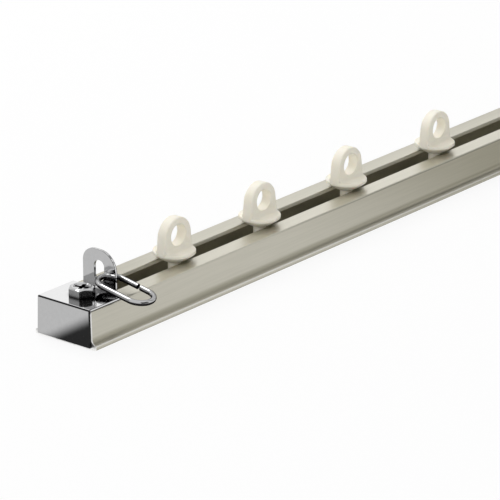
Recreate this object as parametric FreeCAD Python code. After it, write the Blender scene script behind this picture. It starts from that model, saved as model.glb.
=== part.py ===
import FreeCAD, Part
import math
import os

from FreeCAD import Vector

# A curtain track, lying on its mounting face with the slot upwards.
# X runs along the track, Y across it and Z out of the slot.
# The origin is the middle of the mounting face.

# Track extrusion
track_length = 280.0
track_height = 11.5
slot_face_width = 19.4
slot_width = 7.3
lip_thickness = 1.3
wall_thickness = 1.3
floor_thickness = 1.4
wall_spread = 0.35
foot_reach = 1.4
foot_edge_height = 1.35
foot_rise = 0.5
foot_fillet = 1.7
top_edge_round = 0.5
slot_edge_round = 0.25
foot_edge_round = 0.35
base_edge_round = 0.15
channel_corner_round = 0.6

# End cap, one bent sheet on each end of the track
sheet_thickness = 0.8
bend_inside_radius = 0.5
bend_outside_radius = 0.6
end_nesting_gap = 0.4
plate_base_gap = 0.7
tongue_setback = 14.95
tongue_width = 12.4
tongue_height = 11.6
tongue_far_radius = 4.2
tongue_near_radius = 6.1
tongue_hole_width = 3.9
tongue_hole_height = 6.5
tongue_hole_lift = 1.95

# Cap screw and the clamp nut under the lips
screw_setback = 7.45
screw_diameter = 4.0
screw_hole_gap = 0.25
thread_gap = 0.05
screw_end_reach = 0.9
head_across_flats = 7.0
head_height = 2.8
head_top_bevel = 0.5
head_dish_radius = 2.6
head_dish_depth = 0.35
recess_width = 1.2
recess_length = 5.0
recess_depth = 1.2
recess_turn = 18.0
nut_thickness = 2.6
nut_length = 9.0
nut_side_gap = 0.6
nut_corner_radius = 0.8

# Split oval ring in the tongue's hole
wire_diameter = 1.7
ring_width = 10.4
ring_length = 20.4
ring_shift = 0.6
ring_split = 1.1
ring_split_place = 10.9
ring_seat_gap = 0.12
ring_edge_gap = 0.4

# Runner, one moulding; the setbacks are from the track's left end
runner_setbacks = (48.35, 88.3, 131.2, 177.55)
collar_diameter = 12.9
collar_lift = 2.15
collar_rim = 1.0
collar_edge_round = 0.35
seat_gap = 0.2
neck_side_gap = 1.7
neck_dip = 0.6
head_hang_gap = 4.2
head_side_gap = 1.9
head_rim = 1.9
head_bevel = 0.6
head_cone = 0.4
neck_flare = 0.7
eye_inset = 0.1
eye_thickness = 3.4
eye_height = 10.15
eye_top_radius = 5.85
eye_hole_diameter = 6.8
eye_hole_lift = 4.75
eye_edge_round = 0.45
eye_root_round = 1.4

# Lengths below this are taken as none
touching = 1e-6


def wall_half_width(height):
    """Half the width across the side walls' outer faces at a height above the base."""
    return slot_face_width / 2 + wall_spread * (track_height - height) / track_height


def channel_half_width(height):
    """Half the width of the channel at a height above the base."""
    return wall_half_width(height) - wall_thickness


def line(start, finish):
    """Straight edge between two points."""
    return Part.LineSegment(start, finish).toShape()


def arc(start, middle, finish):
    """Round edge through three points."""
    return Part.Arc(start, middle, finish).toShape()


def rounded_wire(corners, place):
    """Closed outline from (u, v, radius) corners; place turns (u, v) into a point in space."""
    count = len(corners)
    ends = []
    for index in range(count):
        u, v, radius = corners[index]
        before = corners[index - 1]
        after = corners[(index + 1) % count]
        arm_in = Vector(before[0] - u, before[1] - v, 0)
        arm_out = Vector(after[0] - u, after[1] - v, 0)
        arm_in.normalize()
        arm_out.normalize()
        corner = Vector(u, v, 0)
        if radius <= 0:
            ends.append((corner, None, corner))
            continue
        half_angle = arm_in.getAngle(arm_out) / 2
        reach = radius / math.tan(half_angle)
        middle = arm_in + arm_out
        middle.normalize()
        to_arc = radius / math.sin(half_angle) - radius
        ends.append((corner + arm_in * reach, corner + middle * to_arc, corner + arm_out * reach))
    edges = []
    for index in range(count):
        start, middle, finish = ends[index]
        next_start = ends[(index + 1) % count][0]
        if middle is not None:
            edges.append(arc(place(start.x, start.y), place(middle.x, middle.y), place(finish.x, finish.y)))
        if (next_start - finish).Length > touching:
            edges.append(line(place(finish.x, finish.y), place(next_start.x, next_start.y)))
    return Part.Wire(edges)


def along_x(corners, start, length):
    """Prism along X from an outline in Y and Z."""
    wire = rounded_wire(corners, lambda y, z: Vector(start, y, z))
    return Part.Face(wire).extrude(Vector(length, 0, 0))


def along_y(corners, width):
    """Prism along Y, centred on the track's middle plane, from an outline in X and Z."""
    wire = rounded_wire(corners, lambda x, z: Vector(x, -width / 2, z))
    return Part.Face(wire).extrude(Vector(0, width, 0))


def turned(wire):
    """Solid of revolution about Z from an outline in the XZ plane."""
    return Part.Face(wire).revolve(Vector(0, 0, 0), Vector(0, 0, 1), 360)


def turned_corners(corners):
    """Solid of revolution about Z from (radius, height, rounding) corners."""
    return turned(rounded_wire(corners, lambda radius, z: Vector(radius, 0, z)))


def upright_cylinder(radius, bottom, top):
    """Cylinder on the Z axis between two heights."""
    return Part.makeCylinder(radius, top - bottom, Vector(0, 0, bottom))


def track():
    """The extrusion: half its section is drawn and mirrored, and its ends are rounded at the slot face."""
    lip_bottom = track_height - lip_thickness
    foot_root = foot_edge_height + foot_rise
    foot_half = wall_half_width(0) + foot_reach
    outside = [
        (slot_width / 2, track_height, slot_edge_round),
        (slot_face_width / 2, track_height, top_edge_round),
        (wall_half_width(foot_root), foot_root, foot_fillet),
        (foot_half, foot_edge_height, foot_edge_round),
        (foot_half, 0, base_edge_round),
    ]
    inside = [
        (channel_half_width(floor_thickness), floor_thickness, channel_corner_round),
        (channel_half_width(lip_bottom), lip_bottom, channel_corner_round),
        (slot_width / 2, lip_bottom, slot_edge_round),
    ]
    outside_mirrored = [(-y, z, r) for y, z, r in reversed(outside)]
    inside_mirrored = [(-y, z, r) for y, z, r in reversed(inside)]
    section = outside + outside_mirrored + inside_mirrored + inside
    bar = along_x(section, -track_length / 2, track_length)
    end_round = bend_inside_radius + end_nesting_gap
    side_view = [
        (-track_length / 2, 0, 0),
        (track_length / 2, 0, 0),
        (track_length / 2, track_height, end_round),
        (-track_length / 2, track_height, end_round),
    ]
    return bar.common(along_y(side_view, 2 * foot_half))


def end_cap():
    """The bent sheet on the left end: end plate, top plate and upright tongue."""
    end_face = -track_length / 2
    plate_top = track_height + sheet_thickness
    tongue_face = end_face + tongue_setback
    tongue_tip = plate_top + tongue_height
    bend_start = tongue_face - bend_inside_radius
    side_view = [
        (end_face - sheet_thickness, plate_base_gap, 0),
        (end_face - sheet_thickness, plate_top, bend_outside_radius),
        (tongue_face, plate_top, bend_inside_radius),
        (tongue_face, tongue_tip, 0),
        (tongue_face + sheet_thickness, tongue_tip, 0),
        (tongue_face + sheet_thickness, track_height, bend_outside_radius),
        (end_face, track_height, bend_inside_radius),
        (end_face, plate_base_gap, 0),
    ]
    strip = along_y(side_view, 2 * wall_half_width(0))
    plate_outline = [
        (wall_half_width(plate_base_gap), plate_base_gap, 0),
        (slot_face_width / 2, track_height, 0),
        (slot_face_width / 2, plate_top, 0),
        (-slot_face_width / 2, plate_top, 0),
        (-slot_face_width / 2, track_height, 0),
        (-wall_half_width(plate_base_gap), plate_base_gap, 0),
    ]
    plates_length = bend_start - end_face + sheet_thickness
    plates = strip.common(along_x(plate_outline, end_face - sheet_thickness, plates_length))
    tongue_outline = [
        (tongue_width / 2, track_height, 0),
        (tongue_width / 2, tongue_tip, tongue_far_radius),
        (-tongue_width / 2, tongue_tip, tongue_near_radius),
        (-tongue_width / 2, track_height, 0),
    ]
    tongue = strip.common(along_x(tongue_outline, bend_start, bend_inside_radius + sheet_thickness))
    hole_bottom = plate_top + tongue_hole_lift
    hole_half = tongue_hole_width / 2
    hole_low_centre = hole_bottom + hole_half
    hole_high_centre = hole_bottom + tongue_hole_height - hole_half
    hole_depth = 2 * sheet_thickness
    for height in (hole_low_centre, hole_high_centre):
        end_start = Vector(bend_start, 0, height)
        tongue = tongue.cut(Part.makeCylinder(hole_half, hole_depth, end_start, Vector(1, 0, 0)))
    slot = Part.makeBox(hole_depth, tongue_hole_width, hole_high_centre - hole_low_centre,
                        Vector(bend_start, -hole_half, hole_low_centre))
    tongue = tongue.cut(slot)
    screw_hole = upright_cylinder(screw_diameter / 2 + screw_hole_gap, track_height, plate_top)
    screw_hole.translate(Vector(end_face + screw_setback, 0, 0))
    return plates.fuse(tongue).removeSplitter().cut(screw_hole)


def cap_screw():
    """Hexagon upset-head screw through the left cap, with corners across the track."""
    seat = track_height + sheet_thickness
    top = seat + head_height
    corner_radius = head_across_flats / math.sqrt(3)
    turns = [math.radians(60 * k) for k in range(6)]
    corners = [Vector(corner_radius * math.sin(t), corner_radius * math.cos(t), seat) for t in turns]
    hexagon = Part.Face(Part.makePolygon(corners + corners[:1])).extrude(Vector(0, 0, head_height))
    crown = turned_corners([
        (0, seat, 0),
        (corner_radius, seat, 0),
        (corner_radius, top - head_top_bevel, 0),
        (corner_radius - 2 * head_top_bevel, top, 0),
        (head_dish_radius, top, 0),
        (head_dish_radius - head_dish_depth, top - head_dish_depth, 0),
        (0, top - head_dish_depth, 0),
    ])
    head = hexagon.common(crown)
    recess_floor = top - head_dish_depth - recess_depth
    for turn in (recess_turn, recess_turn + 90):
        arm = Part.makeBox(recess_width, recess_length, recess_depth,
                           Vector(-recess_width / 2, -recess_length / 2, recess_floor))
        arm.rotate(Vector(0, 0, 0), Vector(0, 0, 1), turn)
        head = head.cut(arm)
    shank_end = track_height - lip_thickness - nut_thickness - screw_end_reach
    screw = head.fuse(upright_cylinder(screw_diameter / 2, shank_end, seat))
    screw.translate(Vector(-track_length / 2 + screw_setback, 0, 0))
    return screw


def clamp_nut():
    """Tapped plate under the lips, which the left cap screw draws up against them."""
    lip_bottom = track_height - lip_thickness
    nut_bottom = lip_bottom - nut_thickness
    half_width = channel_half_width(lip_bottom) - nut_side_gap
    outline = [
        (nut_length / 2, half_width, nut_corner_radius),
        (-nut_length / 2, half_width, nut_corner_radius),
        (-nut_length / 2, -half_width, nut_corner_radius),
        (nut_length / 2, -half_width, nut_corner_radius),
    ]
    wire = rounded_wire(outline, lambda x, y: Vector(x, y, nut_bottom))
    plate = Part.Face(wire).extrude(Vector(0, 0, nut_thickness))
    nut = plate.cut(upright_cylinder(screw_diameter / 2 + thread_gap, nut_bottom, lip_bottom))
    nut.translate(Vector(-track_length / 2 + screw_setback, 0, 0))
    return nut


def ring_pivot_lift():
    """Height of the ring's wire above the cap's top plate, where it lies in the tongue's hole."""
    return tongue_hole_lift + ring_seat_gap + wire_diameter / 2


def ring_rest_tilt():
    """Angle below level at which the ring's strand lies just over the cap's long edge."""
    edge_reach = slot_face_width / 2
    span = math.hypot(ring_pivot_lift(), edge_reach)
    clear_reach = wire_diameter / 2 + ring_edge_gap
    return math.atan2(ring_pivot_lift(), edge_reach) - math.asin(clear_reach / span)


def ring():
    """Split oval link through the left tongue's hole, lying over the cap's near edge."""
    half = (ring_width - wire_diameter) / 2
    reach = ring_length - wire_diameter
    outer = -(reach - half)
    split_low = -ring_split_place - ring_split / 2
    split_high = -ring_split_place + ring_split / 2
    path = Part.Wire([
        line(Vector(half, split_high, 0), Vector(half, -half, 0)),
        arc(Vector(half, -half, 0), Vector(0, 0, 0), Vector(-half, -half, 0)),
        line(Vector(-half, -half, 0), Vector(-half, outer, 0)),
        arc(Vector(-half, outer, 0), Vector(0, -reach, 0), Vector(half, outer, 0)),
        line(Vector(half, outer, 0), Vector(half, split_low, 0)),
    ])
    section = Part.Wire(Part.makeCircle(wire_diameter / 2, Vector(half, split_high, 0), Vector(0, 1, 0)))
    link = path.makePipeShell([section], True, False)
    link.rotate(Vector(0, 0, 0), Vector(1, 0, 0), math.degrees(ring_rest_tilt()))
    pivot_x = -track_length / 2 + tongue_setback + sheet_thickness / 2 + ring_shift
    link.translate(Vector(pivot_x, 0, track_height + sheet_thickness + ring_pivot_lift()))
    return link


def runner_spindle():
    """The runner's round part: head in the channel, neck and bowl-shaped collar."""
    lip_bottom = track_height - lip_thickness
    collar_radius = collar_diameter / 2
    neck_radius = slot_width / 2 - neck_side_gap
    rim_bottom = track_height + collar_lift
    rim_top = rim_bottom + collar_rim
    neck_top = track_height - neck_dip
    head_radius = channel_half_width(lip_bottom) - head_side_gap
    head_face = lip_bottom - head_hang_gap
    rim_face = head_face - head_cone
    head = turned_corners([
        (0, rim_face - head_rim, 0),
        (head_radius, rim_face - head_rim, head_bevel),
        (head_radius, rim_face, head_bevel / 2),
        (neck_radius, head_face, neck_flare),
        (neck_radius, neck_top, 0),
        (0, neck_top, 0),
    ])
    edge_middle = collar_edge_round * (1 - math.sqrt(0.5))
    bowl_start = Vector(neck_radius, 0, neck_top)
    bowl_seat = Vector(slot_width / 2, 0, track_height + seat_gap)
    bowl_end = Vector(collar_radius, 0, rim_bottom)
    edge_start = Vector(collar_radius, 0, rim_top - collar_edge_round)
    edge_turn = Vector(collar_radius - edge_middle, 0, rim_top - edge_middle)
    edge_end = Vector(collar_radius - collar_edge_round, 0, rim_top)
    collar = turned(Part.Wire([
        line(Vector(0, 0, neck_top), bowl_start),
        arc(bowl_start, bowl_seat, bowl_end),
        line(bowl_end, edge_start),
        arc(edge_start, edge_turn, edge_end),
        line(edge_end, Vector(0, 0, rim_top)),
        line(Vector(0, 0, rim_top), Vector(0, 0, neck_top)),
    ]))
    return head.fuse(collar)


def runner_eye():
    """The runner's upright plate with rounded edges and a round hole, standing on the collar."""
    rim_top = track_height + collar_lift + collar_rim
    half_width = collar_diameter / 2 - eye_inset
    face = -eye_thickness / 2
    side_rise = eye_height - eye_top_radius
    slant = math.atan2(side_rise, half_width)
    touch = math.acos(eye_top_radius / math.hypot(side_rise, half_width)) - slant
    touch_x = eye_top_radius * math.cos(touch)
    touch_z = rim_top + side_rise + eye_top_radius * math.sin(touch)
    foot_left = Vector(-half_width, face, rim_top - collar_rim)
    foot_right = Vector(half_width, face, rim_top - collar_rim)
    side_left = Vector(-half_width, face, rim_top)
    side_right = Vector(half_width, face, rim_top)
    touch_left = Vector(-touch_x, face, touch_z)
    touch_right = Vector(touch_x, face, touch_z)
    outline = Part.Wire([
        line(foot_left, foot_right),
        line(foot_right, side_right),
        line(side_right, touch_right),
        arc(touch_right, Vector(0, face, rim_top + eye_height), touch_left),
        line(touch_left, side_left),
        line(side_left, foot_left),
    ])
    plate = Part.Face(outline).extrude(Vector(0, eye_thickness, 0))
    rim_edges = [edge for edge in plate.Edges
                 if edge.BoundBox.YLength < touching and edge.BoundBox.ZMax > rim_top + touching]
    plate = plate.makeFillet(eye_edge_round, rim_edges)
    hole_start = Vector(0, face, rim_top + eye_hole_lift)
    return plate.cut(Part.makeCylinder(eye_hole_diameter / 2, eye_thickness, hole_start, Vector(0, 1, 0)))


def runner_root():
    """The hollow rounding between the upright plate's two faces and the collar's top."""
    rim_top = track_height + collar_lift + collar_rim
    rim_middle = rim_top - collar_rim / 2
    reach = collar_diameter / 2 - collar_edge_round
    face = eye_thickness / 2
    spread = face + eye_root_round
    section = [
        (spread, rim_middle, 0),
        (spread, rim_top, 0),
        (face, rim_top, eye_root_round),
        (face, rim_top + eye_root_round, 0),
        (-face, rim_top + eye_root_round, 0),
        (-face, rim_top, eye_root_round),
        (-spread, rim_top, 0),
        (-spread, rim_middle, 0),
    ]
    ridge = along_x(section, -reach, 2 * reach)
    return ridge.common(upright_cylinder(reach, rim_middle, rim_top + eye_root_round))


def runner():
    """One moulding at the track's middle."""
    body = runner_spindle().fuse(runner_root()).fuse(runner_eye())
    return body.removeSplitter()


def turned_round(shape):
    """The same piece on the track's other end, half a turn about the origin's upright axis."""
    copy = shape.copy()
    copy.rotate(Vector(0, 0, 0), Vector(0, 0, 1), 180)
    return copy


def main():
    """Build every piece and write one file for each."""
    os.makedirs("parts", exist_ok=True)
    pieces = {"track": track()}
    for name, shape in (("end_cap", end_cap()), ("cap_screw", cap_screw()),
                        ("clamp_nut", clamp_nut()), ("ring", ring())):
        pieces[name + "_left"] = shape
        pieces[name + "_right"] = turned_round(shape)
    moulding = runner()
    for number, setback in enumerate(runner_setbacks, start=1):
        copy = moulding.copy()
        copy.translate(Vector(setback - track_length / 2, 0, 0))
        pieces["runner_%d" % number] = copy
    for name, shape in pieces.items():
        shape.Solids[0].exportStep("parts/%s.step" % name)
        print(name, shape.isValid(), len(shape.Solids), round(shape.Volume, 3))


main()
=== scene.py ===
"""Curtain track with end caps, split rings and eye runners, dressed for a studio view."""
import logging
import math
from dataclasses import dataclass
from enum import Enum

import bpy
from mathutils import Matrix, Vector


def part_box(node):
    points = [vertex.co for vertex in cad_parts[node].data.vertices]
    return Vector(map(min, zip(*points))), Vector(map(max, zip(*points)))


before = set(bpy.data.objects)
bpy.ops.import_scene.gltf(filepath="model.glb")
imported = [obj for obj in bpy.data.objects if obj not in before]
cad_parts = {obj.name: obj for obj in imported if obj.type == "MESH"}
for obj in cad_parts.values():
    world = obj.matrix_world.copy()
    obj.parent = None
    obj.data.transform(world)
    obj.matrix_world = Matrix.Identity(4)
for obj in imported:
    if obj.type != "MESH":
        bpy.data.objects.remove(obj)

LOG = logging.getLogger("curtain_track")
MM = 0.001
SHEET = 0.8 * MM
RUNNER_COUNT = 4
IMAGE_PIXELS = 500

Colour = tuple[float, float, float]
Point = tuple[float, float, float]
Span = tuple[float, float]
Socket = bpy.types.NodeSocket

WHITE: Colour = (1.0, 1.0, 1.0)
ONE_FACE = [(0, 1, 2, 3)]
# Sockets of a Mix node that mixes colours.
MIX_SHARE, MIX_FIRST, MIX_SECOND, MIX_RESULT = 0, 6, 7, 2


class Side(Enum):
    """The two ends of the track, named as the nodes are."""

    LEFT = "left"
    RIGHT = "right"


class Stretch(Enum):
    """Directions in which a fine grain is drawn out, as texture scales per axis."""

    ALONG_TRACK = (0.03, 1.0, 1.0)
    EVEN = (1.0, 1.0, 1.0)


class Sum(Enum):
    """Ways to combine two values, under Blender's names."""

    ADD = "ADD"
    LESS = "SUBTRACT"
    BOTH = "MULTIPLY"
    EITHER = "MAXIMUM"


class MaterialTree:
    """Thin helper round one material's node tree."""

    def __init__(self, name: str) -> None:
        """Start an empty tree with an output node.

        Args:
            name: name of the new material.
        """
        self.material = bpy.data.materials.new(name)
        self.material.use_nodes = True
        self.nodes = self.material.node_tree.nodes
        self.links = self.material.node_tree.links
        self.nodes.clear()
        self.output = self.nodes.new("ShaderNodeOutputMaterial")

    def add(self, kind: str, **settings: object) -> bpy.types.Node:
        """Add a node and set its own properties.

        Args:
            kind: Blender's name of the node type.
            settings: properties of the node, not its sockets.

        Returns:
            The new node.
        """
        node = self.nodes.new(kind)
        for key, value in settings.items():
            setattr(node, key, value)
        return node

    def join(self, start: Socket, end: Socket) -> None:
        """Link one socket to another."""
        self.links.new(start, end)

    def surface(self, shader: Socket) -> bpy.types.Material:
        """Link the last shader to the output and hand over the finished material."""
        self.join(shader, self.output.inputs["Surface"])
        return self.material

    def grain(self, scale: float, stretch: Stretch, detail: float = 3.0) -> Socket:
        """Noise in the object's own coordinates, drawn out in one direction.

        Args:
            scale: how many grains there are to a metre.
            stretch: the direction in which they are drawn out.
            detail: octaves of finer grain.

        Returns:
            The noise's value socket.
        """
        place = self.add("ShaderNodeTexCoord")
        mapping = self.add("ShaderNodeMapping")
        mapping.inputs["Scale"].default_value = stretch.value
        noise = self.add("ShaderNodeTexNoise")
        noise.inputs["Scale"].default_value = scale
        noise.inputs["Detail"].default_value = detail
        self.join(place.outputs["Object"], mapping.inputs["Vector"])
        self.join(mapping.outputs["Vector"], noise.inputs["Vector"])
        return noise.outputs["Fac"]

    def spread(self, value: Socket, low: float, high: float) -> Socket:
        """Map a value between 0 and 1 onto a range.

        Args:
            value: the socket to map.
            low: result at 0.
            high: result at 1.

        Returns:
            The mapped value's socket.
        """
        node = self.add("ShaderNodeMapRange")
        node.inputs["To Min"].default_value = low
        node.inputs["To Max"].default_value = high
        self.join(value, node.inputs["Value"])
        return node.outputs["Result"]

    def between(self, value: Socket, start: float, end: float) -> Socket:
        """Ramp from 0 to 1 as a value goes from one number to another.

        Args:
            value: the socket to read.
            start: value at which the ramp is 0.
            end: value at which the ramp is 1.

        Returns:
            The ramp's socket.
        """
        node = self.add("ShaderNodeMapRange", interpolation_type="SMOOTHSTEP")
        node.inputs["From Min"].default_value = start
        node.inputs["From Max"].default_value = end
        self.join(value, node.inputs["Value"])
        return node.outputs["Result"]

    def tint(self, value: Socket, low: Colour, high: Colour) -> Socket:
        """Mix two colours by a value.

        Args:
            value: the socket that mixes them.
            low: colour at 0.
            high: colour at 1.

        Returns:
            The mixed colour's socket.
        """
        node = self.add("ShaderNodeMix", data_type="RGBA")
        node.inputs[MIX_FIRST].default_value = (*low, 1.0)
        node.inputs[MIX_SECOND].default_value = (*high, 1.0)
        self.join(value, node.inputs[MIX_SHARE])
        return node.outputs[MIX_RESULT]

    def over(self, under: Socket, mask: Socket, colour: Colour) -> Socket:
        """Lay a plain colour over another where a mask is 1.

        Args:
            under: colour socket underneath.
            mask: the mask's socket.
            colour: the colour on top.

        Returns:
            The covered colour's socket.
        """
        node = self.add("ShaderNodeMix", data_type="RGBA")
        self.join(mask, node.inputs[MIX_SHARE])
        self.join(under, node.inputs[MIX_FIRST])
        node.inputs[MIX_SECOND].default_value = (*colour, 1.0)
        return node.outputs[MIX_RESULT]

    def maths(self, way: Sum, first: Socket, second: Socket | float) -> Socket:
        """Combine two values.

        Args:
            way: how to combine them.
            first: first value's socket.
            second: second value's socket, or a number.

        Returns:
            The result's socket.
        """
        node = self.add("ShaderNodeMath", operation=way.value)
        self.join(first, node.inputs[0])
        if isinstance(second, float):
            node.inputs[1].default_value = second
        else:
            self.join(second, node.inputs[1])
        return node.outputs[0]

    def both(self, *masks: Socket) -> Socket:
        """Mask that is 1 where every one of some masks is.

        Args:
            masks: the masks' sockets.

        Returns:
            The joint mask's socket.
        """
        joint = masks[0]
        for mask in masks[1:]:
            joint = self.maths(Sum.BOTH, joint, mask)
        return joint

    def either(self, *masks: Socket) -> Socket:
        """Mask that is 1 where any one of some masks is.

        Args:
            masks: the masks' sockets.

        Returns:
            The joint mask's socket.
        """
        joint = masks[0]
        for mask in masks[1:]:
            joint = self.maths(Sum.EITHER, joint, mask)
        return joint

    def size(self, value: Socket) -> Socket:
        """Value without its sign."""
        node = self.add("ShaderNodeMath", operation="ABSOLUTE")
        self.join(value, node.inputs[0])
        return node.outputs[0]

    def off(self, value: Socket, middle: float) -> Socket:
        """How far a value is from a number, either way."""
        return self.size(self.maths(Sum.LESS, value, middle))

    def bump(self, height: Socket, depth: float, strength: float,
             normal: Socket | None = None) -> Socket:
        """Normal from a height.

        Args:
            height: height between 0 and 1.
            depth: depth of the relief in metres.
            strength: how much of it shows.
            normal: normal on which the relief lies, if it isn't the surface's own.

        Returns:
            The normal's socket.
        """
        node = self.add("ShaderNodeBump")
        node.inputs["Distance"].default_value = depth
        node.inputs["Strength"].default_value = strength
        self.join(height, node.inputs["Height"])
        if normal is not None:
            self.join(normal, node.inputs["Normal"])
        return node.outputs["Normal"]

    def axes(self) -> bpy.types.NodeOutputs:
        """Sockets of the object's own X, Y and Z."""
        place = self.add("ShaderNodeTexCoord")
        node = self.add("ShaderNodeSeparateXYZ")
        self.join(place.outputs["Object"], node.inputs["Vector"])
        return node.outputs

    def facing(self) -> bpy.types.NodeOutputs:
        """Sockets of the X, Y and Z of the direction in which the surface faces."""
        geometry = self.add("ShaderNodeNewGeometry")
        node = self.add("ShaderNodeSeparateXYZ")
        self.join(geometry.outputs["Normal"], node.inputs["Vector"])
        return node.outputs


@dataclass(frozen=True)
class CloseShade:
    """Painted shade where metal would mirror the dark: in corners, by other pieces and on a wire's
    underside.
    """

    reach: float
    start: float = 0.8
    full: float = 0.5
    underside: bool = False
    samples: int = 8
    tilt: Span = (0.35, 0.0)

    def mask(self, tree: MaterialTree) -> Socket:
        """Find the shaded parts.

        Args:
            tree: the material's tree.

        Returns:
            Socket that is 1 on those parts.
        """
        close = tree.add("ShaderNodeAmbientOcclusion", samples=self.samples)
        close.inputs["Distance"].default_value = self.reach
        shaded = tree.between(close.outputs["AO"], self.start, self.full)
        if self.underside:
            # Painted shade on surfaces that face down.
            shaded = tree.either(shaded, tree.between(tree.facing()["Z"], *self.tilt))
        return shaded


@dataclass(frozen=True)
class BarSection:
    """Measures of the bar that its finish follows, from its middle and its foot."""

    end_reach: float
    foot_half: float
    channel_half: float
    slot_half: float
    top: float
    inside_top: float


@dataclass(frozen=True)
class BarPlaces:
    """Sockets that say where on the bar a point lies."""

    lengthwise: Socket
    along: Socket
    across: Socket
    height: Socket

    @classmethod
    def on(cls, tree: MaterialTree) -> "BarPlaces":
        """Make the sockets.

        Args:
            tree: the material's tree.

        Returns:
            Place along the bar with and without its sign, across it without, and height.
        """
        axes = tree.axes()
        return cls(axes["X"], tree.size(axes["X"]), tree.size(axes["Y"]), axes["Z"])


@dataclass(frozen=True)
class BrushedAnodised:
    """Warm silver aluminium with fine streaks along the bar, a dull channel darkened with painted
    shade, and painted shade and highlights on some edges.
    """

    light: Colour = (0.677, 0.652, 0.563)
    dark: Colour = (0.612, 0.592, 0.506)
    smooth: float = 0.32
    rough: float = 0.46
    streaks_per_metre: float = 5200.0
    streak_detail: float = 4.0
    streak_depth: float = 0.02 * MM
    streak_strength: float = 0.22
    lines_per_metre: float = 1700.0
    line_detail: float = 2.0
    line_contrast: Span = (0.3, 0.7)
    # Dull colour inside the channel, darker still as painted shade.
    channel: Colour = (0.42, 0.397, 0.305)
    channel_metal: float = 0.45
    channel_blend: float = 0.4 * MM
    channel_floor: Span = (0.5 * MM, 0.9 * MM)
    lip_blend: float = 0.3 * MM
    # Lighter colour on the lips' edges that face each other across the slot: painted light.
    mouth_painted_light: Colour = (0.82, 0.79, 0.68)
    mouth_past: Span = (0.4 * MM, 0.1 * MM)
    mouth_drop: Span = (0.05 * MM, 0.3 * MM)
    # Bright colour on the rims at the sawn ends: bare metal, brightened as a painted highlight of the
    # rounded end edge.
    filed_highlight: Colour = (0.95, 0.945, 0.93)
    filed_width: float = 0.6 * MM
    filed_share: float = 0.6
    # Lighter colour on the foot's outer top rim: a painted highlight.
    foot_rim_highlight: Colour = (0.84, 0.825, 0.77)
    foot_rim_width: float = 0.3 * MM
    foot_rim_heights: Span = (0.9 * MM, 1.15 * MM)
    # Painted shade colour, laid where CloseShade finds corners and pieces close by.
    corner: Colour = (0.28, 0.265, 0.205)
    shade: CloseShade = CloseShade(1.4 * MM, 0.92, 0.4)
    # Thin dark line under the wall's upper edge: a painted dark reflection.
    painted_edge_line: Colour = (0.41, 0.393, 0.325)
    edge_line_drop: float = 0.34 * MM
    edge_line_half: float = 0.2 * MM
    edge_line_past: Span = (0.2 * MM, 0.4 * MM)
    edge_line_fade: Span = (-75.0 * MM, 0.0 * MM)
    hollow: Colour = (0.43, 0.41, 0.327)
    hollow_fall: Span = (3.9 * MM, 2.4 * MM)
    hollow_end: Span = (1.4 * MM, 1.7 * MM)

    def material(self, section: BarSection) -> bpy.types.Material:
        """Make the finish.

        Args:
            section: the bar's measures.

        Returns:
            The new material.
        """
        tree = MaterialTree("brushed_anodised")
        shader = tree.add("ShaderNodeBsdfPrincipled")
        places = BarPlaces.on(tree)
        streaks = tree.grain(self.streaks_per_metre, Stretch.ALONG_TRACK, self.streak_detail)
        inside = self._inside(tree, places, section)
        mouth_painted_light = self._mouth(tree, places, section)
        colour = self._brushed(tree, streaks)
        covers = (
            (self._hollow(tree, places), self.hollow),
            (self._edge_line(tree, places, section), self.painted_edge_line),
            (mouth_painted_light, self.mouth_painted_light),
            (inside, self.channel),
            (self._foot_rim(tree, places, section), self.foot_rim_highlight),
            (self.shade.mask(tree), self.corner),
            (self._filed(tree, places, section), self.filed_highlight),
        )
        for mask, cover in covers:
            colour = tree.over(colour, mask, cover)
        metal = tree.spread(tree.either(inside, mouth_painted_light), 1.0, self.channel_metal)
        relief = tree.bump(streaks, self.streak_depth, self.streak_strength)
        tree.join(colour, shader.inputs["Base Color"])
        tree.join(metal, shader.inputs["Metallic"])
        tree.join(tree.spread(streaks, self.smooth, self.rough), shader.inputs["Roughness"])
        tree.join(relief, shader.inputs["Normal"])
        return tree.surface(shader.outputs["BSDF"])

    def _brushed(self, tree: MaterialTree, streaks: Socket) -> Socket:
        """Colour of the brushed outside.

        Args:
            tree: the material's tree.
            streaks: the fine streaks.

        Returns:
            The colour's socket.
        """
        grain = tree.grain(self.lines_per_metre, Stretch.ALONG_TRACK, self.line_detail)
        lines = tree.between(grain, *self.line_contrast)
        mean = tree.maths(Sum.BOTH, tree.maths(Sum.ADD, streaks, lines), 0.5)
        return tree.tint(mean, self.dark, self.light)

    def _inside(self, tree: MaterialTree, places: BarPlaces, section: BarSection) -> Socket:
        """Find the channel's inside.

        Args:
            tree: the material's tree.
            places: the bar's sockets.
            section: the bar's measures.

        Returns:
            Socket that is 1 there.
        """
        half, top = section.channel_half, section.inside_top
        within = tree.between(places.across, half, half - self.channel_blend)
        below = tree.between(places.height, top, top - self.lip_blend)
        above = tree.between(places.height, *self.channel_floor)
        return tree.both(within, below, above)

    def _mouth(self, tree: MaterialTree, places: BarPlaces, section: BarSection) -> Socket:
        """Find the lips' edges that face each other across the slot, where light is painted.

        Args:
            tree: the material's tree.
            places: the bar's sockets.
            section: the bar's measures.

        Returns:
            Socket that is 1 there.
        """
        outer, inner = (section.slot_half + past for past in self.mouth_past)
        high, low = (section.top - drop for drop in self.mouth_drop)
        return tree.both(tree.between(places.across, outer, inner),
                         tree.between(places.height, high, low))

    def _filed(self, tree: MaterialTree, places: BarPlaces, section: BarSection) -> Socket:
        """Find the bright rims at the sawn ends, smoothed by filing: bare metal with a painted
        highlight.

        Args:
            tree: the material's tree.
            places: the bar's sockets.
            section: the bar's measures.

        Returns:
            Socket that is 1 there.
        """
        start = section.end_reach - self.filed_width
        return tree.between(places.along, start,
                            section.end_reach - self.filed_share * self.filed_width)

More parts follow.
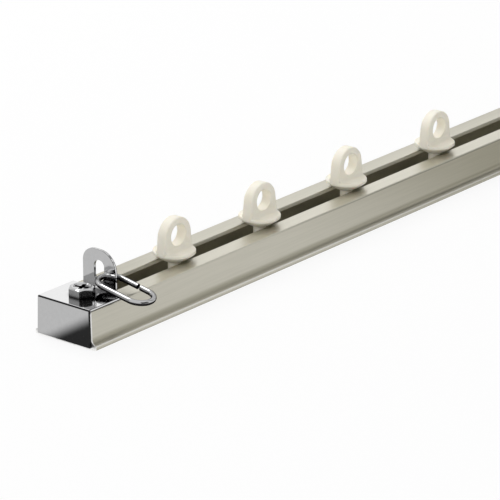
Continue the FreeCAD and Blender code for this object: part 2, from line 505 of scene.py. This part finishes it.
    def _foot_rim(self, tree: MaterialTree, places: BarPlaces, section: BarSection) -> Socket:
        """Find the foot's outer top rims, where a highlight is painted.

        Args:
            tree: the material's tree.
            places: the bar's sockets.
            section: the bar's measures.

        Returns:
            Socket that is 1 there.
        """
        start = section.foot_half - self.foot_rim_width
        outermost = tree.between(places.across, start, section.foot_half - 0.5 * self.foot_rim_width)
        return tree.both(outermost, tree.between(places.height, *self.foot_rim_heights))

    def _hollow(self, tree: MaterialTree, places: BarPlaces) -> Socket:
        """Find the shaded band in the hollow above the foot.

        Args:
            tree: the material's tree.
            places: the bar's sockets.

        Returns:
            Socket that is 1 there.
        """
        return tree.both(tree.between(places.height, *self.hollow_fall),
                         tree.between(places.height, *self.hollow_end))

    def _edge_line(self, tree: MaterialTree, places: BarPlaces, section: BarSection) -> Socket:
        """Find the thin line of painted dark reflection under the wall's upper edge, which fades in
        from the left.

        Args:
            tree: the material's tree.
            places: the bar's sockets.
            section: the bar's measures.

        Returns:
            Socket that is 1 there.
        """
        off_line = tree.off(places.height, section.top - self.edge_line_drop)
        inner, outer = (section.channel_half + past for past in self.edge_line_past)
        return tree.both(tree.between(off_line, self.edge_line_half, 0.5 * self.edge_line_half),
                         tree.between(places.across, inner, outer),
                         tree.between(places.lengthwise, *self.edge_line_fade))


@dataclass(frozen=True)
class ShearedEdgesAndShade:
    """Where a bent sheet is dark: cut edges by the track's ends, cut metal darkened further with
    painted shadow of the gap to the track, and painted shade lines on other edges and along the outer
    bend.
    """

    end_from: float
    plate_middle: float
    tongue_middle: float
    sheet_half: float
    line_width: float = 0.17 * MM
    line_blend: float = 0.04 * MM
    past_sheet: Span = (0.1 * MM, 0.02 * MM)
    end_blend: float = 0.1 * MM
    sideways: Span = (0.7, 0.9)
    upright: Span = (0.3, 0.1)
    slant: Span = (0.2, 0.4)

    def mask(self, tree: MaterialTree) -> Socket:
        """Find the dark parts of the cut edges, and the painted dark reflection along the outer bend.

        Args:
            tree: the material's tree.

        Returns:
            Socket that is 1 on those parts.
        """
        facing, axes = tree.facing(), tree.axes()
        along = tree.size(axes["X"])
        level = tree.size(facing["X"])
        at_end = tree.between(along, self.end_from, self.end_from + self.end_blend)

        across = tree.between(tree.size(facing["Y"]), *self.sideways)
        plate = tree.either(at_end, self._lines(tree, axes["Z"], self.plate_middle))

        risen = self.plate_middle + 2.0 * self.sheet_half
        on_tongue = tree.between(axes["Z"], risen, risen + self.sheet_half)
        tongue = tree.both(tree.between(level, *self.upright), on_tongue,
                           self._lines(tree, along, self.tongue_middle))

        bend = tree.both(tree.between(level, *self.slant),
                         tree.between(facing["Z"], *self.slant), at_end)
        return tree.either(tree.both(across, plate), tongue, bend)

    def _lines(self, tree: MaterialTree, place: Socket, middle: float) -> Socket:
        """Find the two thin painted shade lines along a cut edge.

        Args:
            tree: the material's tree.
            place: place across the sheet's thickness.
            middle: place of the sheet's middle.

        Returns:
            Socket that is 1 on the lines.
        """
        off = tree.off(place, middle)
        start = self.sheet_half - self.line_width
        outside, edge = (self.sheet_half + past for past in self.past_sheet)
        return tree.both(tree.between(off, start - self.line_blend, start),
                         tree.between(off, outside, edge))


@dataclass(frozen=True)
class BrightChrome:
    """Mirror plating with a faint haze and rolling marks."""

    name: str
    light: Colour = (0.87, 0.87, 0.87)
    dark: Colour = (0.79, 0.79, 0.795)
    smooth: float = 0.035
    rough: float = 0.11
    marks_per_metre: float = 900.0
    mark_detail: float = 4.0
    mark_depth: float = 0.01 * MM
    mark_strength: float = 0.25
    edge: Colour = WHITE
    # Dark colour laid on cut edges and as painted shade.
    sheared_and_shade: Colour = (0.02, 0.02, 0.02)
    edges: ShearedEdgesAndShade | None = None
    shade: CloseShade | None = None

    def material(self) -> bpy.types.Material:
        """Make the finish, with dark cut edges and painted shade where they are given.

        Returns:
            The new material.
        """
        tree = MaterialTree(self.name)
        shader = tree.add("ShaderNodeBsdfPrincipled")
        shader.inputs["Metallic"].default_value = 1.0
        shader.inputs["Specular Tint"].default_value = (*self.edge, 1.0)
        haze = tree.grain(self.marks_per_metre, Stretch.EVEN, self.mark_detail)
        colour = tree.tint(haze, self.dark, self.light)
        for part in (self.edges, self.shade):
            if part is not None:
                colour = tree.over(colour, part.mask(tree), self.sheared_and_shade)
        relief = tree.bump(haze, self.mark_depth, self.mark_strength)
        tree.join(colour, shader.inputs["Base Color"])
        tree.join(tree.spread(haze, self.smooth, self.rough), shader.inputs["Roughness"])
        tree.join(relief, shader.inputs["Normal"])
        return tree.surface(shader.outputs["BSDF"])


@dataclass(frozen=True)
class IvoryMoulding:
    """Satin ivory plastic with a soft bloom and a mould seam down its middle."""

    light: Colour = (0.865, 0.83, 0.725)
    dark: Colour = (0.815, 0.775, 0.66)
    roughness: Span = (0.38, 0.52)
    refraction: float = 1.49
    bloom: float = 0.25
    bloom_colour: Colour = (1.0, 0.8, 0.5)
    bloom_reach: float = 0.8 * MM
    clouds_per_metre: float = 160.0
    skin_per_metre: float = 6000.0
    skin_detail: float = 2.0
    skin_share: float = 0.25
    seam_half: float = 0.07 * MM
    relief_depth: float = 0.02 * MM
    relief_strength: float = 0.3
    soft_edge: float = 0.45 * MM
    soft_samples: int = 6

    def material(self) -> bpy.types.Material:
        """Make the finish.

        Returns:
            The new material.
        """
        tree = MaterialTree("ivory_moulding")
        shader = tree.add("ShaderNodeBsdfPrincipled")
        shader.inputs["Subsurface Weight"].default_value = self.bloom
        shader.inputs["Subsurface Radius"].default_value = self.bloom_colour
        shader.inputs["Subsurface Scale"].default_value = self.bloom_reach
        shader.inputs["IOR"].default_value = self.refraction
        clouds = tree.grain(self.clouds_per_metre, Stretch.EVEN)
        skin = tree.grain(self.skin_per_metre, Stretch.EVEN, self.skin_detail)
        seam = tree.between(tree.size(tree.axes()["Y"]), self.seam_half, 0.0)
        height = tree.maths(Sum.ADD, tree.maths(Sum.BOTH, skin, self.skin_share), seam)
        soft = tree.add("ShaderNodeBevel", samples=self.soft_samples)
        soft.inputs["Radius"].default_value = self.soft_edge
        relief = tree.bump(height, self.relief_depth, self.relief_strength,
                           soft.outputs["Normal"])
        tree.join(tree.tint(clouds, self.dark, self.light), shader.inputs["Base Color"])
        tree.join(tree.spread(skin, *self.roughness), shader.inputs["Roughness"])
        tree.join(relief, shader.inputs["Normal"])
        return tree.surface(shader.outputs["BSDF"])


@dataclass(frozen=True)
class PaleFloor:
    """Pale studio floor that shows white and keeps a faint shadow."""

    colour: Colour = (0.86, 0.86, 0.86)
    shadow_share: float = 0.12

    def material(self) -> bpy.types.Material:
        """Make the finish.

        Returns:
            The new material.
        """
        tree = MaterialTree("pale_floor")
        paint = tree.add("ShaderNodeBsdfDiffuse")
        paint.inputs["Color"].default_value = (*self.colour, 1.0)
        glow = tree.add("ShaderNodeEmission")
        glow.inputs["Strength"].default_value = 1.0
        path = tree.add("ShaderNodeLightPath").outputs
        seen = tree.either(path["Is Camera Ray"], path["Is Glossy Ray"],
                           path["Is Transmission Ray"])
        share = tree.maths(Sum.BOTH, seen, 1.0 - self.shadow_share)
        mix = tree.add("ShaderNodeMixShader")
        sources = (share, paint.outputs["BSDF"], glow.outputs["Emission"])
        for source, target in zip(sources, mix.inputs):
            tree.join(source, target)
        return tree.surface(mix.outputs["Shader"])


@dataclass(frozen=True)
class CardFace:
    """Face of a studio card that only mirrors in bright surfaces, shaded in one direction."""

    name: str
    start_level: float
    end_level: float
    heading: Point = (1.0, 0.0, 0.0)
    start: float = -1.0
    end: float = 1.0
    end_tint: Colour = WHITE

    @classmethod
    def plain(cls, name: str, level: float) -> "CardFace":
        """Face that is the same all over."""
        return cls(name, level, level)

    def material(self) -> bpy.types.Material:
        """Make the finish.

        Returns:
            The new material.
        """
        tree = MaterialTree(self.name)
        glow = tree.add("ShaderNodeEmission")
        place = tree.add("ShaderNodeTexCoord")
        ahead = tree.add("ShaderNodeVectorMath", operation="DOT_PRODUCT")
        ahead.inputs[1].default_value = self.heading
        tree.join(place.outputs["Object"], ahead.inputs[0])
        along = tree.between(ahead.outputs["Value"], self.start, self.end)
        first = (self.start_level,) * 3
        last = tuple(self.end_level * share for share in self.end_tint)
        tree.join(tree.tint(along, first, last), glow.inputs["Color"])
        return tree.surface(glow.outputs["Emission"])


def dress(node: str, material: bpy.types.Material) -> None:
    """Give a node one material all over.

    Args:
        node: the node's name.
        material: its new material.
    """
    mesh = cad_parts[node].data
    mesh.materials.clear()
    mesh.materials.append(material)
    LOG.info("dressed %s with %s", node, material.name)


@dataclass
class TrackBar:
    """The slotted bar."""

    lip: float = 1.3 * MM
    wall: float = 1.3 * MM
    slot_face: float = 19.4 * MM
    slot: float = 7.3 * MM
    wall_share: float = 0.5
    lip_share: float = 0.75

    def section(self) -> BarSection:
        """Measure what the finish follows.

        Returns:
            The bar's measures.
        """
        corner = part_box("track")[1]
        return BarSection(
            end_reach=corner.x,
            foot_half=corner.y,
            channel_half=self.slot_face / 2 - self.wall_share * self.wall,
            slot_half=self.slot / 2,
            top=corner.z,
            inside_top=corner.z - self.lip_share * self.lip,
        )

    def dress(self) -> None:
        """Brush the outside, dull the channel and paint shade and highlights on the bar."""
        dress("track", BrushedAnodised().material(self.section()))


@dataclass(frozen=True)
class FittingFinishes:
    """The four finishes of an end fitting, made once for both ends."""

    sheet: bpy.types.Material
    bolt: bpy.types.Material
    nut: bpy.types.Material
    wire: bpy.types.Material

    @classmethod
    def make(cls) -> "FittingFinishes":
        """Make the finishes.

        Returns:
            Chromed sheet, plated bolt, zinc nut and chromed wire.
        """
        end_inset = 0.2 * MM
        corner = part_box("track")[1]
        edges = ShearedEdgesAndShade(
            end_from=corner.x - end_inset,
            plate_middle=corner.z + SHEET / 2,
            tongue_middle=-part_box("end_cap_left")[1].x + SHEET / 2,
            sheet_half=SHEET / 2,
        )
        # The sheet gets painted dark edges and painted shade near other pieces; the bolt gets painted
        # shade, and the wire painted shade near other pieces and on its underside.
        sheet = BrightChrome("chromed_sheet", edges=edges, shade=CloseShade(3.0 * MM, 0.72, 0.3))
        bolt = BrightChrome(
            "plated_bolt", light=(0.7, 0.7, 0.7), dark=(0.6, 0.6, 0.605), rough=0.16,
            marks_per_metre=1600.0, shade=CloseShade(2.4 * MM),
        )
        nut = BrightChrome(
            "zinc_nut", light=(0.62, 0.62, 0.61), dark=(0.5, 0.5, 0.5), smooth=0.3, rough=0.45,
        )
        wire = BrightChrome(
            "chromed_wire", light=(0.64, 0.64, 0.64), dark=(0.56, 0.56, 0.565),
            edge=(0.03, 0.03, 0.03), shade=CloseShade(14.0 * MM, 0.86, 0.48, underside=True),
        )
        return cls(sheet.material(), bolt.material(), nut.material(), wire.material())


@dataclass
class EndFitting:
    """One end's bent cap, its screw and nut, and the split ring."""

    side: Side
    finishes: FittingFinishes

    def dress(self) -> None:
        """Plate every piece of the fitting."""
        end = self.side.value
        dress(f"end_cap_{end}", self.finishes.sheet)
        dress(f"cap_screw_{end}", self.finishes.bolt)
        dress(f"clamp_nut_{end}", self.finishes.nut)
        dress(f"ring_{end}", self.finishes.wire)


@dataclass
class Runner:
    """One eye runner."""

    number: int
    plastic: bpy.types.Material

    def dress(self) -> None:
        """Mould it in ivory."""
        dress(f"runner_{self.number}", self.plastic)


def set_piece(name: str, points: list[Point], faces: list[tuple[int, ...]],
              material: bpy.types.Material, mirrored_only: bool = False) -> bpy.types.Object:
    """Make one object of the studio set.

    Args:
        name: its name.
        points: its corners.
        faces: its faces, as corner numbers.
        material: its finish.
        mirrored_only: whether it shows in mirror surfaces alone.

    Returns:
        The new object.
    """
    mesh = bpy.data.meshes.new(name)
    mesh.from_pydata(points, [], faces)
    mesh.materials.append(material)
    thing = bpy.data.objects.new(name, mesh)
    bpy.context.scene.collection.objects.link(thing)
    if mirrored_only:
        thing.visible_camera = False
        thing.visible_diffuse = False
        thing.visible_shadow = False
        thing.visible_transmission = False
    return thing


@dataclass(frozen=True)
class CurvedCard:
    """Card in an arc round the set: directions anticlockwise from +X and rises, in degrees."""

    name: str
    face: CardFace
    turns: Span
    rises: Span
    radius: float = 1.6
    steps: int = 48

    def build(self) -> None:
        """Stand the card up."""
        first, last = self.turns
        points = []
        for rise in self.rises:
            level = self.radius * math.tan(math.radians(rise))
            for step in range(self.steps + 1):
                turn = math.radians(first + (last - first) * step / self.steps)
                across, away = math.cos(turn), math.sin(turn)
                points.append((self.radius * across, self.radius * away, level))
        row = self.steps + 1
        faces = [(s, s + 1, row + s + 1, row + s) for s in range(self.steps)]
        set_piece(self.name, points, faces, self.face.material(), mirrored_only=True)


@dataclass(frozen=True)
class UprightCard:
    """Flat card that stands along the track: its span in X, its place in Y and its heights."""

    name: str
    face: CardFace
    reach: Span
    place: float
    heights: Span

    def build(self) -> None:
        """Stand the card up."""
        (left, right), (low, high) = self.reach, self.heights
        corners = [(left, self.place, low), (right, self.place, low),
                   (right, self.place, high), (left, self.place, high)]
        set_piece(self.name, corners, ONE_FACE, self.face.material(), mirrored_only=True)


@dataclass(frozen=True)
class FloorCard:
    """Card on the floor by the left end, with its twin by the right: corners and lift in mm."""

    name: str
    face: CardFace
    outline: tuple[Span, ...]
    lift: float

    def build(self) -> None:
        """Lay both cards down."""
        material = self.face.material()
        points = [(x * MM, y * MM, self.lift * MM) for x, y in self.outline]
        for side, turn in ((Side.LEFT, 0.0), (Side.RIGHT, math.pi)):
            name = f"{self.name}_{side.value}"
            card = set_piece(name, points, ONE_FACE, material, mirrored_only=True)
            card.rotation_euler.z = turn


@dataclass(frozen=True)
class FloorStrip:
    """Long card on the floor along each side of the track."""

    name: str
    face: CardFace
    reach: Span
    offsets: Span
    lift: float = 0.2 * MM

    def build(self) -> None:
        """Lay both cards down."""
        material = self.face.material()
        left, right = self.reach
        for side, sign in (("near", -1.0), ("far", 1.0)):
            near, far = (offset * sign for offset in self.offsets)
            corners = [(left, near, self.lift), (right, near, self.lift),
                       (right, far, self.lift), (left, far, self.lift)]
            set_piece(f"{self.name}_{side}", corners, ONE_FACE, material, mirrored_only=True)


@dataclass(frozen=True)
class SoftLamp:
    """Square soft lamp that lights the set and doesn't show in mirror surfaces."""

    name: str
    place: Point
    size: float
    watts: float

    def hang(self, aim: Vector) -> None:
        """Hang the lamp.

        Args:
            aim: the point it faces.
        """
        light = bpy.data.lights.new(self.name, "AREA")
        light.size = self.size
        light.energy = self.watts
        lamp = bpy.data.objects.new(self.name, light)
        bpy.context.scene.collection.objects.link(lamp)
        lamp.visible_glossy = False
        lamp.location = self.place
        lamp.rotation_euler = (aim - lamp.location).to_track_quat("-Z", "Y").to_euler()


@dataclass
class Studio:
    """Floor, cards, sky and lamps."""

    floor_half: float = 6.0
    sky_level: float = 1.0
    fill_level: float = 0.74
    front_radius: float = 1.5
    aim: Point = (0.0, 0.0, 0.01)
    end: float = 141.0
    shade_far: float = 170.0
    shade_near: float = -16.0
    shade_rim: float = 9.6
    grey_far: float = 1000.0
    grey_sides: Span = (-300.0, 900.0)

    def build(self) -> None:
        """Set everything up."""
        self.floor()
        cards = (*self.curved_cards(), *self.upright_cards(), *self.floor_cards())
        for card in cards:
            card.build()
        LOG.info("set %d cards", len(cards))
        self.sky()
        self.lamps()

    def floor(self) -> None:
        """Lay the floor under the track."""
        half = self.floor_half
        corners = [(-half, -half, 0), (half, -half, 0), (half, half, 0), (-half, half, 0)]
        set_piece("floor", corners, ONE_FACE, PaleFloor().material())

    def curved_cards(self) -> tuple[CurvedCard, ...]:
        """Cards round the set: dark in front and low behind, grey by the ends, bright above.

        Returns:
            The cards.
        """
        plain = CardFace.plain
        return (
            CurvedCard("front_card", plain("front_face", 0.015), (-122.0, -74.0), (5.0, 46.0)),
            CurvedCard("right_card", plain("right_face", 0.32), (-44.0, -8.0), (20.0, 62.0)),
            CurvedCard("back_card", plain("low_face", 0.02), (-12.0, 92.0), (-1.0, 4.0)),
            CurvedCard("left_card", plain("left_face", 0.35), (122.0, 166.0), (4.0, 27.0)),
            CurvedCard("left_high_card", plain("high_face", 0.6), (98.0, 166.0), (27.0, 66.0)),
            CurvedCard("strip_card", plain("strip_face", 5.0), (50.0, 125.0), (60.0, 69.0),
                       self.front_radius),
            CurvedCard("bend_card", plain("bend_face", 1.6), (92.0, 136.0), (37.0, 48.0),
                       self.front_radius),
        )

    def upright_cards(self) -> tuple[UprightCard, ...]:
        """Cards along the track that the lips and the slot face mirror.

        Returns:
            The cards.
        """
        pale = CardFace("pale_face", 1.0, 0.85, start=0.35, end=0.8)
        side = CardFace("side_face", 0.9, 0.02, start=-0.04, end=0.08)
        near = CardFace("near_face", 1.25, 1.5, start=-0.06, end=0.06)
        far = CardFace("far_face", 0.75, 0.2, start=-0.1, end=0.2)
        return (
            UprightCard("pale_card", pale, reach=(0.2, 1.3), place=0.5, heights=(0.09, 0.62)),
            UprightCard("side_card", side, (-0.08, 0.26), -0.04, (0.046, 0.082)),
            UprightCard("near_card", near, (-0.07, 0.4), 0.03, (0.0275, 0.046)),
            UprightCard("far_card", far, (-0.1, 0.4), 0.03, (0.014, 0.027)),
        )

    def floor_cards(self) -> tuple[FloorCard | FloorStrip, ...]:
        """Cards on the floor that the end plates and the walls mirror.

        Returns:
            The cards.
        """
        end, rim = -self.end, self.shade_rim
        grey_far, (grey_low, grey_high) = -self.grey_far, self.grey_sides
        grey_outline = ((grey_far, grey_low), (end, grey_low), (end, grey_high), (grey_far, grey_high))
        # Dark card standing for the track's shadow on the floor, seen only in reflections: painted
        # shadow.
        shade = CardFace("shade_face", 0.56, 0.025, (0.0, -1.0, 0.0), -rim * MM, -1.0 * MM)
        far, near = -self.shade_far, self.shade_near
        shade_outline = ((end, rim), (far, rim), (far, near), (end, near))
        dusk = CardFace("dusk_face", 0.78, 0.38, start=-0.05, end=0.1, end_tint=(1.0, 0.978, 0.85))
        return (
            FloorCard("grey_floor", CardFace.plain("grey_face", 0.56), grey_outline, lift=0.3),
            FloorCard("shade_floor", shade, shade_outline, lift=0.6),
            FloorStrip("dusk_floor", dusk, reach=(-0.14, 0.3), offsets=(12.0 * MM, 90.0 * MM)),
        )

    def sky(self) -> None:
        """Light the set evenly and show white behind it."""
        world = bpy.data.worlds.new("studio")
        bpy.context.scene.world = world
        world.use_nodes = True
        nodes, links = world.node_tree.nodes, world.node_tree.links
        nodes.clear()
        output = nodes.new("ShaderNodeOutputWorld")
        seen = nodes.new("ShaderNodeBackground")
        seen.inputs["Strength"].default_value = self.sky_level
        fill = nodes.new("ShaderNodeBackground")
        fill.inputs["Strength"].default_value = self.fill_level
        path = nodes.new("ShaderNodeLightPath").outputs
        either = nodes.new("ShaderNodeMath")
        either.operation = "MAXIMUM"
        every = nodes.new("ShaderNodeMath")
        every.operation = "MAXIMUM"
        mix = nodes.new("ShaderNodeMixShader")
        links.new(path["Is Camera Ray"], either.inputs[0])
        links.new(path["Is Glossy Ray"], either.inputs[1])
        links.new(either.outputs[0], every.inputs[0])
        links.new(path["Is Transmission Ray"], every.inputs[1])
        links.new(every.outputs[0], mix.inputs[0])
        links.new(fill.outputs[0], mix.inputs[1])
        links.new(seen.outputs[0], mix.inputs[2])
        links.new(mix.outputs[0], output.inputs["Surface"])

    def lamps(self) -> None:
        """Hang the soft lamps, high behind and low to the left."""
        aim = Vector(self.aim)
        SoftLamp("key", place=(0.15, 0.62, 0.95), size=0.7, watts=6.5).hang(aim)
        SoftLamp("side", place=(-0.9, -0.3, 0.5), size=0.6, watts=2.5).hang(aim)


@dataclass(frozen=True)
class Viewpoint:
    """The photograph's camera, measured from the left cap's foot."""

    azimuth: float = math.radians(-50.776)
    elevation: float = math.radians(20.299)
    distance: float = 1028.301 * MM
    aside: float = 53.444 * MM
    above: float = 26.601 * MM
    focal_pixels: float = 3586.744
    sensor: float = 36.0

    def set_up(self) -> None:
        """Stand the camera and look through it."""
        right = Vector((math.cos(self.azimuth), math.sin(self.azimuth), 0))
        back = Vector((
            math.sin(self.azimuth) * math.cos(self.elevation),
            -math.cos(self.azimuth) * math.cos(self.elevation),
            math.sin(self.elevation),
        ))
        up = back.cross(right)
        foot = Vector((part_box("end_cap_left")[0].x, 0, 0))
        place = foot + right * self.aside + up * self.above + back * self.distance
        lens = bpy.data.cameras.new("view")
        lens.sensor_width = self.sensor
        lens.lens = self.focal_pixels * self.sensor / IMAGE_PIXELS
        stand = bpy.data.objects.new("view", lens)
        bpy.context.scene.collection.objects.link(stand)
        turn = Matrix((right, up, back)).transposed().to_4x4()
        stand.matrix_world = Matrix.Translation(place) @ turn
        bpy.context.scene.camera = stand


def main() -> None:
    """Dress the pieces, set the studio and stand the camera."""
    logging.basicConfig(level=logging.INFO, format="%(name)s: %(message)s")
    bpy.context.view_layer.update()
    TrackBar().dress()
    finishes = FittingFinishes.make()
    for side in Side:
        EndFitting(side, finishes).dress()
    plastic = IvoryMoulding().material()
    for number in range(1, RUNNER_COUNT + 1):
        Runner(number, plastic).dress()
    Studio().build()
    Viewpoint().set_up()
    bpy.context.scene.view_settings.view_transform = "Standard"


if __name__ == "__main__":
    main()
